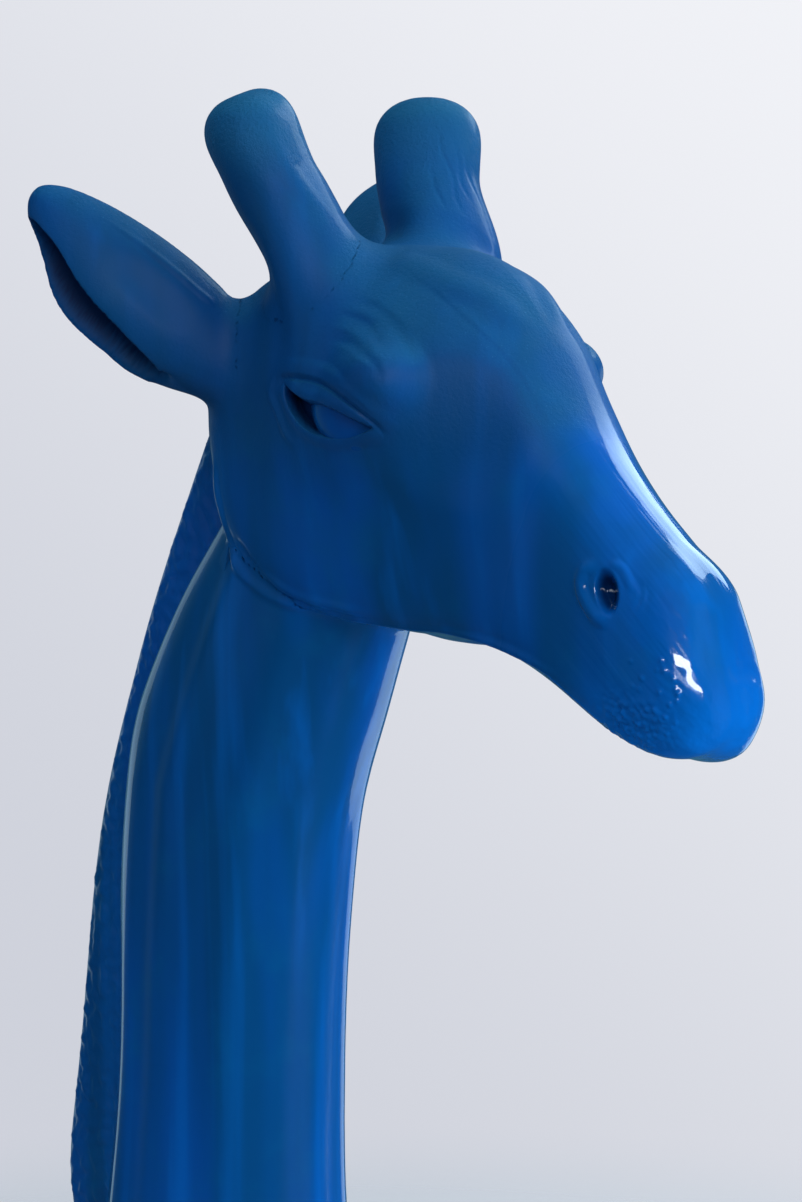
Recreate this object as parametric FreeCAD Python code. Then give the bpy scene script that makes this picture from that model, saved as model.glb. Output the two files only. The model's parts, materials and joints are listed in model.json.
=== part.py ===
"""Carved giraffe bust: a painted head and neck on an oval plinth, put together as a joiner would.

Millimetres, +Z up. The face looks along -Y and the statue is symmetric about the plane X = 0.
The origin is the centre of the felt's underside, where the bust stands. The carved pieces are
drawn with the neck's foot near Y = 0 and then moved back by FOOT_Y.
"""

import FreeCAD, Part

import math
import os

from FreeCAD import Vector

# ---- driving dimensions ----
FOOT_Y = 58.0  # sets the neck back on the plinth, so that the head's weight stays over it
GLUE_GAP = 0.3  # film of glue between a piece and the socket it is let into

FELT_T = 2.0
FELT_INSET = 4.0
PLINTH_T = 34.0
PLINTH_HALF_X = 128.0
PLINTH_HALF_Y = 188.0
PLINTH_EDGE_R = 9.0
NECK_FOOT_Z = FELT_T + PLINTH_T

DOWEL_FIT = 0.1  # radial room round a dowel
HEAD_DOWEL_R = 8.0
HEAD_DOWEL_L = 100.0
HEAD_DOWEL_Y = (-68.0, -116.0)
HORN_DOWEL_R = 5.0
HORN_DOWEL_SPAN = (-0.42, 0.5)  # shares of the horn's axis
EAR_DOWEL_R = 4.5
EAR_DOWEL_SPAN = (-0.25, 0.16)  # shares of the ear's axis
MANE_PIN_R = 3.0
MANE_PIN_L = 60.0
MANE_PIN_HEIGHTS = (150.0, 240.0, 330.0, 420.0, 510.0)
FOOT_DOWEL_R = 6.0
FOOT_DOWEL_L = 48.0
FOOT_DOWEL_X = 46.0
FOOT_DOWEL_Y = 0.0

SCREW_R = 4.0
SCREW_L = 92.0
SCREW_HEAD_R = 7.5
SCREW_HEAD_T = 5.5
SCREW_RING_R = 44.0
SCREW_TURNS = (30.0, 150.0, 270.0)
WASHER_R = 12.0
WASHER_T = 2.0
COUNTERBORE_R = 14.0
COUNTERBORE_T = 12.0

EYE_R = 27.0
EYE_AT = Vector(66.0, -178.0, 670.0)  # left eye; the right one is its mirror image
BROW_AT = Vector(66.0, -208.0, 683.0)
BROW_HALF = Vector(28.0, 32.0, 26.0)

# Neck: height, middle in Y, half depth fore and aft, half width.
NECK_SQUARENESS = 2.25
NECK_STATIONS = [
    (NECK_FOOT_Z, 14.0, 96.0, 82.0),
    (75.0, 12.0, 90.0, 74.0),
    (115.0, 10.0, 86.0, 68.0),
    (157.0, 9.0, 82.0, 64.0),
    (235.0, 5.0, 78.0, 60.0),
    (312.0, 2.0, 78.0, 60.0),
    (370.0, -2.0, 80.0, 61.0),
    (428.0, -11.0, 82.0, 62.0),
    (467.0, -23.0, 85.0, 63.0),
    (506.0, -40.0, 83.0, 62.0),
    (544.0, -59.0, 79.0, 59.0),
    (582.0, -77.0, 69.0, 54.0),
    (618.0, -90.0, 58.0, 49.0),
    (655.0, -97.0, 46.0, 43.0),
]

# Mane: height, rear edge in Y, front edge in Y inside the neck, half thickness.
MANE_SQUARENESS = 3.0
MANE_STATIONS = [
    (56.0, 100.0, 60.0, 9.0),
    (80.0, 121.0, 60.0, 13.0),
    (110.0, 138.0, 60.0, 14.0),
    (157.0, 148.0, 58.0, 15.0),
    (214.0, 141.0, 54.0, 15.0),
    (295.0, 129.0, 50.0, 15.0),
    (376.0, 116.0, 46.0, 15.0),
    (456.0, 92.0, 32.0, 15.0),
    (536.0, 61.0, 4.0, 14.0),
    (600.0, 32.0, -26.0, 13.0),
    (650.0, 10.0, -40.0, 11.0),
    (690.0, -14.0, -50.0, 8.0),
]

# Head, from the back of the skull to the lips: top (Y, Z), underside (Y, Z), then the half widths
# at the jaw, the cheek, the brow and the crown.
HEAD_STATIONS = [
    ((-30.0, 704.0), (-36.0, 644.0), 24.0, 38.0, 38.0, 22.0),
    ((-50.0, 738.0), (-46.0, 592.0), 46.0, 61.0, 60.0, 40.0),
    ((-95.0, 758.0), (-80.0, 556.0), 54.0, 66.0, 72.0, 57.0),
    ((-145.0, 762.0), (-140.0, 535.0), 50.0, 66.0, 82.0, 62.0),
    ((-198.0, 760.0), (-195.0, 530.0), 44.0, 63.0, 85.0, 53.0),
    ((-238.0, 748.0), (-245.0, 527.0), 40.0, 56.0, 72.0, 45.0),
    ((-267.0, 715.0), (-287.0, 515.0), 37.0, 48.0, 54.0, 38.0),
    ((-303.0, 661.0), (-322.0, 496.0), 33.0, 42.0, 44.0, 32.0),
    ((-342.0, 618.0), (-350.0, 482.0), 32.0, 41.0, 42.0, 29.0),
    ((-374.0, 589.0), (-378.0, 474.0), 30.0, 41.0, 41.0, 27.0),
    ((-395.0, 562.0), (-398.0, 476.0), 26.0, 36.0, 35.0, 22.0),
    ((-408.0, 534.0), (-412.0, 488.0), 14.0, 20.0, 20.0, 12.0),
    ((-412.0, 521.0), (-415.0, 501.0), 5.0, 7.0, 7.0, 4.0),
]
JAW_LEVEL = 0.05
CHEEK_LEVEL = 0.32
BROW_LEVEL = 0.64
CROWN_LEVEL = 0.9

# Left horn: foot and tip of its axis, then share of the axis, half breadth and half thickness.
HORN_FOOT = Vector(49.0, -124.0, 740.0)
HORN_TIP = Vector(81.0, -91.0, 849.0)
HORN_TURN = -45.0  # the broad side of a horn faces this way round from the statue's left
HORN_STATIONS = [
    (-0.12, 38.0, 32.0),
    (0.06, 35.0, 29.0),
    (0.22, 32.0, 26.0),
    (0.45, 31.0, 25.0),
    (0.68, 32.0, 25.0),
    (0.86, 31.0, 25.0),
    (0.96, 22.0, 18.0),
    (1.0, 9.0, 7.0),
]

# Left ear: root and tip of its axis and the way its hollow faces, then share of the axis, half
# height, half thickness, and the axis's bend towards the hollow's side.
EAR_ROOT = Vector(50.0, -70.0, 694.0)
EAR_TIP = Vector(149.0, 6.0, 790.0)
EAR_FACES = Vector(0.67, 0.18, -0.8)
EAR_STATIONS = [
    (0.0, 32.0, 21.0, 6.0),
    (0.2, 33.0, 23.0, 10.0),
    (0.42, 36.0, 25.0, 12.0),
    (0.66, 34.0, 23.0, 12.0),
    (0.85, 23.0, 16.0, 6.0),
    (0.96, 12.0, 9.0, 2.0),
    (1.0, 5.0, 4.0, 0.0),
]
EAR_HOLLOW_STATIONS = [
    (0.24, 6.0, 4.0, 22.0),
    (0.34, 20.0, 12.0, 24.0),
    (0.5, 29.0, 18.0, 26.0),
    (0.68, 28.0, 17.0, 25.0),
    (0.84, 17.0, 11.0, 17.0),
    (0.93, 7.0, 5.0, 9.0),
]


def mirrored(shape):
    """The same piece for the statue's right side."""
    return shape.mirror(Vector(0, 0, 0), Vector(1, 0, 0))


def closed_curve(points):
    """A smooth closed wire through points, with even parameters so that stations match."""
    curve = Part.BSplineCurve()
    count = len(points)
    curve.interpolate(
        Points=points,
        PeriodicFlag=True,
        Parameters=[i / count for i in range(count + 1)],
    )
    return Part.Wire([curve.toShape()])


def loft(wires):
    """A closed solid through the wires, with a flat face at each end."""
    solid = Part.makeLoft(wires, True, False)
    if solid.Volume < 0:
        solid.reverse()
    return solid


def oval(centre, along, across, half_along, half_across, squareness=2.0, count=12):
    """A closed wire round centre: an ellipse, or squarer where squareness is over 2."""
    points = []
    for i in range(count):
        turn = 2 * math.pi * i / count
        c = math.cos(turn)
        s = math.sin(turn)
        u = math.copysign(abs(c) ** (2 / squareness), c) * half_along
        v = math.copysign(abs(s) ** (2 / squareness), s) * half_across
        points.append(centre + along * u + across * v)
    return closed_curve(points)


def cylinder_between(start, end, radius):
    return Part.makeCylinder(radius, (end - start).Length, start, end - start)


def along_axis(root, tip, facing):
    """Unit vectors towards an axis's facing side and across both."""
    axis = (tip - root).normalize()
    face = (facing - axis * facing.dot(axis)).normalize()
    return face, axis.cross(face)


def neck_loft(grow=0.0):
    """The neck's outside; a grown one cuts its socket in the head."""
    wires = []
    for z, y, half_y, half_x in NECK_STATIONS:
        middle = Vector(0, y, z)
        wires.append(
            oval(
                middle,
                Vector(0, 1, 0),
                Vector(1, 0, 0),
                half_y + grow,
                half_x + grow,
                NECK_SQUARENESS,
            )
        )
    return loft(wires)


def mane_loft(grow=0.0):
    """The mane's blade; a grown one cuts its groove in the neck and the head."""
    wires = []
    for z, rear, front, half_x in MANE_STATIONS:
        middle = Vector(0, (rear + front) / 2, z)
        half_y = (rear - front) / 2
        wires.append(
            oval(
                middle,
                Vector(0, 1, 0),
                Vector(1, 0, 0),
                half_y + grow,
                half_x + grow,
                MANE_SQUARENESS,
            )
        )
    return loft(wires)


def head_loft():
    """The skull, jaw and muzzle in one block, with the two brows."""
    wires = []
    for top, under, jaw, cheek, brow, crown in HEAD_STATIONS:
        low = Vector(0, *under)
        rise = Vector(0, *top) - low
        side = [
            (jaw, JAW_LEVEL),
            (cheek, CHEEK_LEVEL),
            (brow, BROW_LEVEL),
            (crown, CROWN_LEVEL),
        ]
        left = [low + rise * level + Vector(half, 0, 0) for half, level in side]
        right = [low + rise * level - Vector(half, 0, 0) for half, level in reversed(side)]
        wires.append(closed_curve([low] + left + [low + rise] + right))
    brow = brow_lump()
    return loft(wires).fuse([brow, mirrored(brow)])


def brow_lump():
    """The rounded lump of the left brow, over the eye."""
    stretch = FreeCAD.Matrix()
    stretch.scale(BROW_HALF)
    lump = Part.makeSphere(1.0).transformGeometry(stretch)
    lump.translate(BROW_AT)
    return lump


def horn_loft(grow=0.0):
    """The left horn; a grown one cuts its socket in the skull."""
    turn = math.radians(HORN_TURN)
    broad = Vector(math.cos(turn), math.sin(turn), 0)
    face, across = along_axis(HORN_FOOT, HORN_TIP, broad)
    wires = []
    for share, half_face, half_across in HORN_STATIONS:
        middle = HORN_FOOT + (HORN_TIP - HORN_FOOT) * share
        wires.append(oval(middle, face, across, half_face + grow, half_across + grow))
    return loft(wires)


def ear_loft(stations, grow=0.0):
    """The left ear's outside or its hollow, by the stations given."""
    face, across = along_axis(EAR_ROOT, EAR_TIP, EAR_FACES)
    wires = []
    for share, half_face, half_across, bend in stations:
        middle = EAR_ROOT + (EAR_TIP - EAR_ROOT) * share + face * bend
        wires.append(oval(middle, face, across, half_face + grow, half_across + grow))
    return loft(wires)


def dowel_along(root, tip, span, radius, grow=0.0):
    """A dowel between two shares of an axis."""
    start = root + (tip - root) * span[0]
    end = root + (tip - root) * span[1]
    return cylinder_between(start, end, radius + grow)


def head_dowels(grow=0.0):
    middle_z = NECK_STATIONS[-1][0]
    start_z = middle_z - HEAD_DOWEL_L / 2
    rods = [
        Part.makeCylinder(HEAD_DOWEL_R + grow, HEAD_DOWEL_L, Vector(0, y, start_z))
        for y in HEAD_DOWEL_Y
    ]
    return Part.makeCompound(rods)


def mane_front_at(height):
    """Where the mane's front edge lies at a height, between its stations."""
    for (z0, _, front0, _), (z1, _, front1, _) in zip(MANE_STATIONS, MANE_STATIONS[1:]):
        if z0 <= height <= z1:
            return front0 + (front1 - front0) * (height - z0) / (z1 - z0)
    raise ValueError(f"the mane doesn't reach {height}")


def mane_pins(grow=0.0):
    rods = []
    for z in MANE_PIN_HEIGHTS:
        start = Vector(0, mane_front_at(z) - MANE_PIN_L / 2, z)
        rods.append(Part.makeCylinder(MANE_PIN_R + grow, MANE_PIN_L, start, Vector(0, 1, 0)))
    return Part.makeCompound(rods)


def foot_dowels(grow=0.0):
    rods = []
    for x in (-FOOT_DOWEL_X, FOOT_DOWEL_X):
        start = Vector(x, FOOT_DOWEL_Y, NECK_FOOT_Z - FOOT_DOWEL_L / 2)
        rods.append(Part.makeCylinder(FOOT_DOWEL_R + grow, FOOT_DOWEL_L, start))
    return Part.makeCompound(rods)


def screw_places():
    """The three screws' centres, on a ring under the neck's foot."""
    middle = Vector(0, NECK_STATIONS[0][1], FELT_T)
    places = []
    for turn in SCREW_TURNS:
        angle = math.radians(turn)
        places.append(middle + Vector(math.cos(angle), math.sin(angle), 0) * SCREW_RING_R)
    return places


def hexagon_prism(centre, radius, height):
    corners = []
    for i in range(7):
        angle = math.pi * i / 3
        corners.append(centre + Vector(math.cos(angle), math.sin(angle), 0) * radius)
    return Part.Face(Part.makePolygon(corners)).extrude(Vector(0, 0, height))


def foot_screws():
    """Hexagon-headed wood screws, up through the plinth into the neck's end grain."""
    screws = []
    for place in screw_places():
        seat = place + Vector(0, 0, COUNTERBORE_T - WASHER_T)
        head = hexagon_prism(seat - Vector(0, 0, SCREW_HEAD_T), SCREW_HEAD_R, SCREW_HEAD_T)
        point_l = SCREW_R * 2
        shank = Part.makeCylinder(SCREW_R, SCREW_L - point_l, seat)
        point = Part.makeCone(SCREW_R, 0.5, point_l, seat + Vector(0, 0, SCREW_L - point_l))
        screws.append(head.fuse([shank, point]).removeSplitter())
    return Part.makeCompound(screws)


def foot_washers():
    washers = []
    for place in screw_places():
        seat = place + Vector(0, 0, COUNTERBORE_T - WASHER_T)
        disc = Part.makeCylinder(WASHER_R, WASHER_T, seat)
        washers.append(disc.cut(Part.makeCylinder(SCREW_R + GLUE_GAP, WASHER_T, seat)))
    return Part.makeCompound(washers)


def screw_holes():
    """The screws' counterbores and holes, through the plinth and on into the neck."""
    holes = []
    for place in screw_places():
        holes.append(Part.makeCylinder(COUNTERBORE_R, COUNTERBORE_T, place))
        holes.append(Part.makeCylinder(SCREW_R + DOWEL_FIT, SCREW_L + COUNTERBORE_T, place))
    return Part.makeCompound(holes)


def oval_board(half_x, half_y, low, thickness):
    """A flat oval board about the origin's axis."""
    ellipse = Part.Ellipse(Vector(0, 0, low), half_y, half_x)
    ellipse.rotate(FreeCAD.Placement(Vector(), Vector(0, 0, 1), 90))
    face = Part.Face(Part.Wire([ellipse.toShape()]))
    return face.extrude(Vector(0, 0, thickness))


def plinth_board():
    """The plinth, with its upper edge rounded over."""
    board = oval_board(PLINTH_HALF_X, PLINTH_HALF_Y, FELT_T, PLINTH_T)
    rim = [e for e in board.Edges if abs(e.CenterOfMass.z - NECK_FOOT_Z) < 0.01]
    return board.makeFillet(PLINTH_EDGE_R, rim)


def carved_pieces():
    """Everything that stands on the plinth, with the neck's foot near Y = 0."""
    socket_neck = neck_loft(GLUE_GAP)
    socket_mane = mane_loft(GLUE_GAP)
    socket_horn = horn_loft(GLUE_GAP)
    socket_ear = ear_loft(EAR_STATIONS, GLUE_GAP)
    horn_dowel = dowel_along(HORN_FOOT, HORN_TIP, HORN_DOWEL_SPAN, HORN_DOWEL_R)
    horn_hole = dowel_along(HORN_FOOT, HORN_TIP, HORN_DOWEL_SPAN, HORN_DOWEL_R, DOWEL_FIT)
    ear_dowel = dowel_along(EAR_ROOT, EAR_TIP, EAR_DOWEL_SPAN, EAR_DOWEL_R)
    ear_hole = dowel_along(EAR_ROOT, EAR_TIP, EAR_DOWEL_SPAN, EAR_DOWEL_R, DOWEL_FIT)
    eye = Part.makeSphere(EYE_R, EYE_AT)
    eye_socket = Part.makeSphere(EYE_R + GLUE_GAP, EYE_AT)

    head = head_loft()
    for tool in (socket_neck, socket_mane, head_dowels(DOWEL_FIT)):
        head = head.cut(tool)
    for tool in (socket_horn, socket_ear, horn_hole, ear_hole, eye_socket):
        head = head.cut([tool, mirrored(tool)])

    neck = neck_loft()
    for tool in (socket_mane, head_dowels(DOWEL_FIT), mane_pins(DOWEL_FIT)):
        neck = neck.cut(tool)
    neck = neck.cut([foot_dowels(DOWEL_FIT), screw_holes()])

    horn = horn_loft().cut(horn_hole)
    ear = ear_loft(EAR_STATIONS).cut([ear_loft(EAR_HOLLOW_STATIONS), ear_hole])
    pieces = {
        "neck_column": neck,
        "head_block": head,
        "mane_strip": mane_loft().cut(mane_pins(DOWEL_FIT)),
        "head_dowels": head_dowels(),
        "mane_pins": mane_pins(),
        "foot_dowels": foot_dowels(),
        "foot_screws": foot_screws(),
        "foot_washers": foot_washers(),
    }
    pairs = {
        "horn": horn,
        "ear": ear,
        "eye": eye,
        "horn_dowel": horn_dowel,
        "ear_dowel": ear_dowel,
    }
    for name, shape in pairs.items():
        pieces[name + "_left"] = shape
        pieces[name + "_right"] = mirrored(shape)
    return pieces


def solid_of(shape):
    """The shape's one solid, or its solids as one compound."""
    if len(shape.Solids) == 1:
        return shape.Solids[0]
    return Part.makeCompound(shape.Solids)


def build():
    """All the pieces by node name, in their final places."""
    back = Vector(0, FOOT_Y, 0)
    pieces = {name: solid_of(shape) for name, shape in carved_pieces().items()}
    for shape in pieces.values():
        shape.translate(back)
    holes = Part.makeCompound([screw_holes(), foot_dowels(DOWEL_FIT)])
    holes.translate(back)
    pieces["plinth"] = solid_of(plinth_board().cut(holes))
    pieces["base_felt"] = oval_board(
        PLINTH_HALF_X - FELT_INSET, PLINTH_HALF_Y - FELT_INSET, 0.0, FELT_T
    )
    return pieces


def main():
    os.makedirs("parts", exist_ok=True)
    for name, shape in build().items():
        shape.exportStep(f"parts/{name}.step")


if __name__ == "__main__":
    main()
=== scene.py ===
"""Carved giraffe bust in thick blue enamel: its carved surfaces, paint, stage and camera.

The CAD frame gives each piece its place and size. The bust is roughed out as one blank over the
frame, carved and smoothed with strokes as a sculptor would, and then parted again along the
joints, so that the paint runs unbroken over them. Lengths are in metres.
"""

import json
import math

import bmesh
import bpy
import numpy as np
from mathutils import Matrix, Vector, noise
from mathutils.bvhtree import BVHTree


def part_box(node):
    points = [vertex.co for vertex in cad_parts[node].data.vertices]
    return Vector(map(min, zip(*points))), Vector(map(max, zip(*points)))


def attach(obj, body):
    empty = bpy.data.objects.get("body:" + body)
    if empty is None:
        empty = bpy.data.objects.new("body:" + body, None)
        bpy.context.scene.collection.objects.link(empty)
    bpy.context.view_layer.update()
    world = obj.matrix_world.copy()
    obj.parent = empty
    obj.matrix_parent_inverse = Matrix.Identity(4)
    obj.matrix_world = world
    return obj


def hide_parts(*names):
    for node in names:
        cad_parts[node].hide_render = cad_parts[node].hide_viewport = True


bl_info = {
    "name": "Carved Giraffe Bust",
    "version": (1, 0, 0),
    "blender": (4, 5, 0),
    "location": "View3D > Sidebar > Giraffe",
    "description": "Carves and enamels a giraffe bust over its CAD frame",
    "category": "Object",
}

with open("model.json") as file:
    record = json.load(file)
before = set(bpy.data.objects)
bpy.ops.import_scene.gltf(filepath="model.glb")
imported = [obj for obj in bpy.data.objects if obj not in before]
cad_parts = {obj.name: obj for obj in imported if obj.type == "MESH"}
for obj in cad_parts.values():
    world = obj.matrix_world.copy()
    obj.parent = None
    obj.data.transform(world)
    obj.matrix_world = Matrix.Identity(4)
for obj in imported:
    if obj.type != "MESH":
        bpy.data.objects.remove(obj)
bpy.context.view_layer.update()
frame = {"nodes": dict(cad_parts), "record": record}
MM = 0.001
BODY = "root"
PAIRED = ("horn_left", "horn_right", "ear_left", "ear_right")
CARVED = ("head_block", "neck_column", "mane_strip", *PAIRED)
FILLERS = (
    *("eye_left", "eye_right", "head_dowels", "horn_dowel_left", "horn_dowel_right"),
    *("ear_dowel_left", "ear_dowel_right", "mane_pins", "foot_dowels", "foot_screws"),
)
BLANK = "blank"


# ---- working on a mesh as arrays ----


def gathered(items, name, width=1, kind=np.float32):
    """One property of all of a mesh's items, as an array with a row for each."""
    values = np.zeros(len(items) * width, kind)
    items.foreach_get(name, values)
    return values.reshape(-1, width) if width > 1 else values


def read_layer(mesh, name):
    """A mesh's named value at each point, or zeros."""
    if name not in mesh.attributes:
        return np.zeros(len(mesh.vertices))
    return gathered(mesh.attributes[name].data, "value").astype(float)


def write_layer(mesh, name, values):
    layer = mesh.attributes.get(name) or mesh.attributes.new(name, "FLOAT", "POINT")
    layer.data.foreach_set("value", np.asarray(values, np.float32))


def even_coat(mesh, gloss):
    """One gloss all over a mesh, and how far each point faces up."""
    write_layer(mesh, "gloss", np.full(len(mesh.vertices), gloss))
    note_up(mesh)


def note_up(mesh):
    """Writes how far each point faces up, for the dust and the painted top light."""
    write_layer(mesh, "up", gathered(mesh.vertices, "normal", 3)[:, 2])


def opened(mesh):
    bm = bmesh.new()
    bm.from_mesh(mesh)
    return bm


def mesh_from(bm, name, smooth=True):
    """A new mesh of the bmesh's shape; the bmesh is freed."""
    mesh = bpy.data.meshes.new(name)
    bm.to_mesh(mesh)
    bm.free()
    if smooth:
        mesh.polygons.foreach_set("use_smooth", [True] * len(mesh.polygons))
    return mesh


def edge_pairs(mesh):
    """The two points of each edge, as rows."""
    return gathered(mesh.edges, "vertices", 2, np.int32)


def neighbour_sum(a, b, values):
    """The sum of each point's neighbours' values over the edges from a to b."""
    total = np.empty_like(values)
    for column in range(values.shape[1]):
        forwards = np.bincount(a, values[b, column], len(values))
        total[:, column] = forwards + np.bincount(b, values[a, column], len(values))
    return total


def patches(count, a, b):
    """A number for each point, the same over every patch that edges from a to b join up."""
    label = np.arange(count)
    while True:
        lower = np.minimum(label[a], label[b])
        new = label.copy()
        np.minimum.at(new, a, lower)
        np.minimum.at(new, b, lower)
        new = new[new]
        if (new == label).all():
            return label
        label = new


class Clay:
    """A mesh's points as arrays, so that whole strokes move them at once."""

    def __init__(self, obj):
        self.obj = obj
        self.at = gathered(obj.data.vertices, "co", 3).astype(float)
        self.sunk = read_layer(obj.data, "sunk")
        self.pairs = edge_pairs(obj.data)
        count = np.bincount(self.pairs.ravel(), minlength=len(self.at))
        self.neighbours = np.maximum(count, 1)[:, None]

    def normals(self):
        self.write()
        return gathered(self.obj.data.vertices, "normal", 3).astype(float)

    def write(self):
        mesh = self.obj.data
        mesh.vertices.foreach_set("co", self.at.astype(np.float32).ravel())
        mesh.update()

    def store(self):
        """Writes the points and the depths of the hollows back to the mesh."""
        self.write()
        write_layer(self.obj.data, "sunk", self.sunk)

    def average(self, values):
        """Each point's mean over its neighbours, for a column or several."""
        return neighbour_sum(*self.pairs.T, values) / self.neighbours

    def smooth(self, weight, rounds):
        """Laplacian smoothing where weight is over 0, up to 1."""
        a, b = self.pairs.T
        used = (weight[a] > 0) | (weight[b] > 0)
        points = np.unique(self.pairs[used])
        renamed = np.full(len(self.at), -1)
        renamed[points] = np.arange(len(points))
        a, b = renamed[a[used]], renamed[b[used]]
        weight = np.clip(weight[points], 0, 1)[:, None]
        count = np.bincount(np.concatenate((a, b)), minlength=len(points))
        share = weight / np.maximum(count, 1)[:, None]
        at = self.at[points]
        for _ in range(rounds):
            at = at * (1 - weight) + neighbour_sum(a, b, at) * share
        self.at[points] = at

    def sink(self, depth):
        """Notes how deep a hollow is, in millimetres, where the colour is darkened as painted
        shade.
        """
        self.sunk = np.maximum(self.sunk, depth)

    def shift(self, move):
        """Moves the points by rows given for the left side, and the right side's to match."""
        move[:, 0] *= np.sign(self.at[:, 0])
        self.at += move

    def raise_by(self, height):
        """Moves the points along their normals by height, in metres."""
        self.at += self.normals() * height[:, None]


def bump(distance):
    """1 at no distance, falling smoothly to 0 at 1."""
    inside = np.clip(1 - np.clip(distance, 0, 1) ** 2, 0, 1)
    return inside * inside


def step(value, low, high):
    """0 below low and 1 above high, with a smooth rise."""
    t = np.clip((value - low) / (high - low), 0, 1)
    return t * t * (3 - 2 * t)


def smooth_line(points, per_run=12):
    """A Catmull-Rom line through the points."""
    knots = np.array(points, float)
    knots = np.vstack([2 * knots[0] - knots[1], knots, 2 * knots[-1] - knots[-2]])
    line = []
    for i in range(1, len(knots) - 2):
        p0, p1, p2, p3 = knots[i - 1 : i + 3]
        for t in np.arange(per_run) / per_run:
            bend = (2 * p0 - 5 * p1 + 4 * p2 - p3) * t * t + (3 * p1 - p0 - 3 * p2 + p3) * t**3
            line.append(0.5 * (2 * p1 + (p2 - p0) * t + bend))
    line.append(knots[-2])
    return np.array(line)


def along(points, line, reach):
    """Distance from each point to a line, its share along the line, and which points are near."""
    low = line.min(0) - reach
    high = line.max(0) + reach
    near = np.flatnonzero(((points > low) & (points < high)).all(1))
    distance = np.full(len(points), 1e3)
    share = np.zeros(len(points))
    p = points[near]
    best = np.full(len(near), 1e3)
    where = np.zeros(len(near))
    for i in range(len(line) - 1):
        a = line[i]
        run = line[i + 1] - a
        t = np.clip((p - a) @ run / max(run @ run, 1e-12), 0, 1)
        d = np.linalg.norm(p - a - t[:, None] * run, axis=1)
        closer = d < best
        best[closer] = d[closer]
        where[closer] = (i + t[closer]) / (len(line) - 1)
    distance[near] = best
    share[near] = where
    return distance, share


def tapered(share, ends):
    """1 along a stroke, falling to 0 over its ends."""
    return step(share, -0.001, ends) * step(1.001 - share, 0, ends)


def gap_to(points, place):
    """Each point's distance to a place given in millimetres."""
    return np.linalg.norm(points - np.array(place) * MM, axis=1)


def mirror(points):
    """The points with both sides of the statue laid on its left side."""
    out = points.copy()
    out[:, 0] = np.abs(out[:, 0])
    return out


# ---- roughing out ----


def merged_copy(names, *extras):
    """The named CAD pieces and extra meshes as one new mesh, doubled points merged."""
    bm = bmesh.new()
    for mesh in extras:
        bm.from_mesh(mesh)
    for name in names:
        bm.from_mesh(frame["nodes"][name].data)
    bmesh.ops.remove_doubles(bm, verts=bm.verts[:], dist=1e-6)
    return mesh_from(bm, BLANK, False)


def new_object(name, mesh):
    obj = bpy.data.objects.new(name, mesh)
    bpy.context.scene.collection.objects.link(obj)
    return obj


def keep_largest_shell(mesh):
    """Removes the small closed shells that the joints' gaps leave inside."""
    label = patches(len(mesh.vertices), *edge_pairs(mesh).T)
    main = np.bincount(label).argmax()
    bm = opened(mesh)
    bm.verts.ensure_lookup_table()
    gone = [bm.verts[i] for i in np.flatnonzero(label != main)]
    bmesh.ops.delete(bm, geom=gone, context="VERTS")
    bm.to_mesh(mesh)
    bm.free()


def distances(points, names, reach=0.04):
    """Each point's distance to each named CAD piece, one column a piece, or reach if further."""
    graph = bpy.context.evaluated_depsgraph_get()
    out = np.full((len(points), len(names)), reach)
    for column, name in enumerate(names):
        low, high = (np.array(corner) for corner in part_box(name))
        near = ((points > low - reach) & (points < high + reach)).all(1)
        tree = BVHTree.FromObject(frame["nodes"][name], graph)
        for row in np.flatnonzero(near):
            out[row, column] = min(reach, tree.find_nearest(points[row])[3])
    return out


def note_gaps(clay):
    """Keeps each point's distance to each carved piece on the blank."""
    gaps = distances(clay.at, CARVED)
    for name, column in zip(CARVED, gaps.T):
        write_layer(clay.obj.data, "gap_" + name, column)
    return gaps


def noted_gaps(clay):
    return np.column_stack([read_layer(clay.obj.data, "gap_" + name) for name in CARVED])


def rough_out(voxel):
    """One even mesh round all the carved pieces and what fills the gaps between them."""
    rough = merged_copy(CARVED + FILLERS, ear_plugs())
    blank = new_object(BLANK, rough)
    remesh = blank.modifiers.new("remesh", "REMESH")
    remesh.mode = "VOXEL"
    remesh.voxel_size = voxel
    bpy.context.view_layer.update()
    graph = bpy.context.evaluated_depsgraph_get()
    mesh = bpy.data.meshes.new_from_object(blank.evaluated_get(graph))
    blank.modifiers.clear()
    blank.data = mesh
    bpy.data.meshes.remove(rough)
    keep_largest_shell(mesh)
    return blank


def trim_foot(blank, level):
    """Cuts the blank flat where the neck stands on the plinth, and closes it."""
    bm = opened(blank.data)
    cut = bmesh.ops.bisect_plane(
        bm,
        geom=bm.verts[:] + bm.edges[:] + bm.faces[:],
        dist=1e-6,
        plane_co=(0, 0, level),
        plane_no=(0, 0, -1),
        clear_outer=True,
    )
    rim = [e for e in cut["geom_cut"] if isinstance(e, bmesh.types.BMEdge)]
    bmesh.ops.holes_fill(bm, edges=rim, sides=0)
    bm.to_mesh(blank.data)
    bm.free()


# ---- carving ----


def crease_gap(gaps, *pair):
    """How far each point is from the further of two pieces, so 0 at the crease between them."""
    return np.maximum(*(gaps[:, CARVED.index(name)] for name in pair))


def blend_joints(clay, gaps):
    """Rounds the creases between pieces, as filler and paint do."""
    fillets = [
        ("head_block", "horn", 0.030, 120),
        ("head_block", "ear", 0.018, 60),
        ("head_block", "neck_column", 0.007, 14),
        ("neck_column", "mane_strip", 0.004, 4),
    ]
    for piece, others, reach, rounds in fillets:
        for name in (name for name in CARVED if name.startswith(others)):
            clay.smooth(bump(crease_gap(gaps, piece, name) / reach), rounds)


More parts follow.
